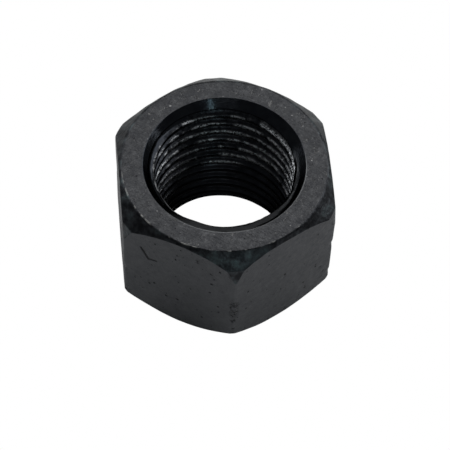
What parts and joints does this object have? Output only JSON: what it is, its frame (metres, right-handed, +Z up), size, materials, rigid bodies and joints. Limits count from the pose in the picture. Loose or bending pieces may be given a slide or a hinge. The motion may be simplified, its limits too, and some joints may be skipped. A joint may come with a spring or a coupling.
{
  "type": "hex nut",
  "caption": "High hexagon nut with a fine right-hand internal thread, countersunk mouths, chamfered ends and steeply cut corners, in blackened steel.",
  "frame": {"origin": "centre of the bottom bearing face, on the thread's axis, in the plane that the nut stands on", "axes": "+Z up the thread's axis to the face with the wide flat ring, +X to a corner of the hexagon, +Y out of a flat"},
  "size_m": [0.0254, 0.022, 0.0172],
  "materials": {
    "black_oxide_steel": "satin"
  },
  "bodies": {
    "root": {"nut_body": "black_oxide_steel"}
  },
  "joints": []
}
